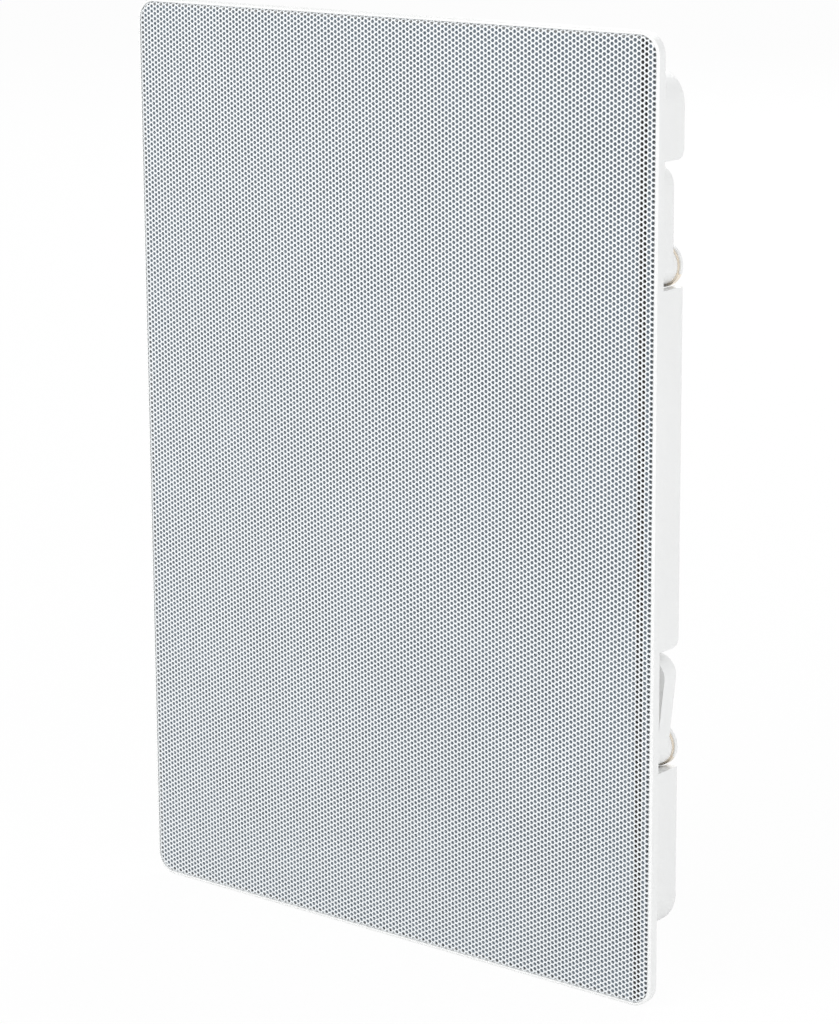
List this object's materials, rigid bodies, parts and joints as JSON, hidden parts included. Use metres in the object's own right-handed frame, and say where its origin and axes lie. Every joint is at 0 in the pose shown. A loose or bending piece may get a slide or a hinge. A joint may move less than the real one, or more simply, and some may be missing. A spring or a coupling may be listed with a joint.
{
  "type": "flush-mount loudspeaker",
  "caption": "Rectangular ceiling speaker with a perforated pull-off grille, woofer, tweeter, crossover and swing-out clamps that grip the board behind its flange",
  "frame": {"origin": "centre of the flange's rear face, the plane that lies on the wall or ceiling board", "axes": "+X across the speaker, +Y into the cavity behind the board, +Z along the long side, up as in the picture"},
  "size_m": [0.209, 0.0804, 0.303],
  "materials": {
    "frame": "satin",
    "grille": "satin",
    "scrim": "matte",
    "grille_magnets": "polished",
    "clamp": "satin",
    "clamp_screw": "yellow zinc",
    "clamp_nut": "pale zinc",
    "woofer_gasket": "matte",
    "woofer_basket": "satin",
    "cone": "satin",
    "woofer_surround": "matte",
    "copper_wire": "enamelled",
    "woofer_spider": "matte",
    "motor_steel": "zinc",
    "ferrite": "matte",
    "tag_strip": "matte",
    "lead": "satin",
    "black_screw": "satin",
    "tweeter_faceplate": "satin",
    "tweeter_dome": "matte",
    "crossover_board": "satin",
    "board_screws": "zinc",
    "capacitors": "gloss",
    "resistor": "matte",
    "terminal_block": "satin",
    "terminal_red": "gloss",
    "terminal_black": "gloss"
  },
  "bodies": {
    "speaker": {"frame": "frame", "grille_magnets": "grille_magnets", "woofer_gasket": "woofer_gasket", "woofer_basket": "woofer_basket", "woofer_surround": "woofer_surround", "woofer_spider": "woofer_spider", "woofer_top_plate": "motor_steel", "woofer_magnet": "ferrite", "woofer_yoke": "motor_steel", "woofer_tag_strip": "tag_strip", "woofer_screws": "black_screw", "tweeter_faceplate": "tweeter_faceplate", "tweeter_dome": "tweeter_dome", "tweeter_top_plate": "motor_steel", "tweeter_magnet": "ferrite", "tweeter_yoke": "motor_steel", "tweeter_tag_strip": "tag_strip", "tweeter_screws": "black_screw", "tweeter_leads": "lead", "woofer_leads": "lead", "crossover_board": "crossover_board", "board_screws": "board_screws", "choke": "copper_wire", "capacitors": "capacitors", "resistor": "resistor", "terminal_block": "terminal_block"},
    "grille": {"grille": "grille", "scrim": "scrim"},
    "cone": {"woofer_cone": "cone", "woofer_dust_cap": "cone", "woofer_voice_coil": "copper_wire"},
    "red_button": {"terminal_red": "terminal_red"},
    "black_button": {"terminal_black": "terminal_black"},
    "screw_1": {"clamp_screw_1": "clamp_screw"},
    "arm_1": {"clamp_1": "clamp", "clamp_nut_1": "clamp_nut"},
    "screw_2": {"clamp_screw_2": "clamp_screw"},
    "arm_2": {"clamp_2": "clamp", "clamp_nut_2": "clamp_nut"},
    "screw_3": {"clamp_screw_3": "clamp_screw"},
    "arm_3": {"clamp_3": "clamp", "clamp_nut_3": "clamp_nut"},
    "screw_4": {"clamp_screw_4": "clamp_screw"},
    "arm_4": {"clamp_4": "clamp", "clamp_nut_4": "clamp_nut"}
  },
  "joints": [
    {"name": "grille_pull", "type": "slide", "parent": "speaker", "child": "grille", "axis": [0, -1, 0], "range_m": [0, 0.06]},
    {"name": "cone_stroke", "type": "slide", "parent": "speaker", "child": "cone", "axis": [0, -1, 0], "range_m": [-0.004, 0.004], "stiffness_N_per_m": 800, "deforming": ["woofer_surround", "woofer_spider"]},
    {"name": "red_press", "type": "slide", "parent": "speaker", "child": "red_button", "axis": [0, -1, 0], "range_m": [0, 0.003], "stiffness_N_per_m": 600},
    {"name": "black_press", "type": "slide", "parent": "speaker", "child": "black_button", "axis": [0, -1, 0], "range_m": [0, 0.003], "stiffness_N_per_m": 600},
    {"name": "swing_1", "type": "hinge", "parent": "speaker", "child": "screw_1", "pos_m": [0.0835, 0, 0.077], "axis": [0, 1, 0], "range_deg": [0, 90]},
    {"name": "tighten_1", "type": "slide", "parent": "screw_1", "child": "arm_1", "axis": [0, -1, 0], "range_m": [0, 0.01]},
    {"name": "swing_2", "type": "hinge", "parent": "speaker", "child": "screw_2", "pos_m": [0.0835, 0, -0.077], "axis": [0, 1, 0], "range_deg": [-6.5, 83.5]},
    {"name": "tighten_2", "type": "slide", "parent": "screw_2", "child": "arm_2", "axis": [0, -1, 0], "range_m": [0, 0.01]},
    {"name": "swing_3", "type": "hinge", "parent": "speaker", "child": "screw_3", "pos_m": [-0.0835, 0, -0.077], "axis": [0, 1, 0], "range_deg": [0, 90]},
    {"name": "tighten_3", "type": "slide", "parent": "screw_3", "child": "arm_3", "axis": [0, -1, 0], "range_m": [0, 0.01]},
    {"name": "swing_4", "type": "hinge", "parent": "speaker", "child": "screw_4", "pos_m": [-0.0835, 0, 0.077], "axis": [0, 1, 0], "range_deg": [0, 90]},
    {"name": "tighten_4", "type": "slide", "parent": "screw_4", "child": "arm_4", "axis": [0, -1, 0], "range_m": [0, 0.01]}
  ]
}
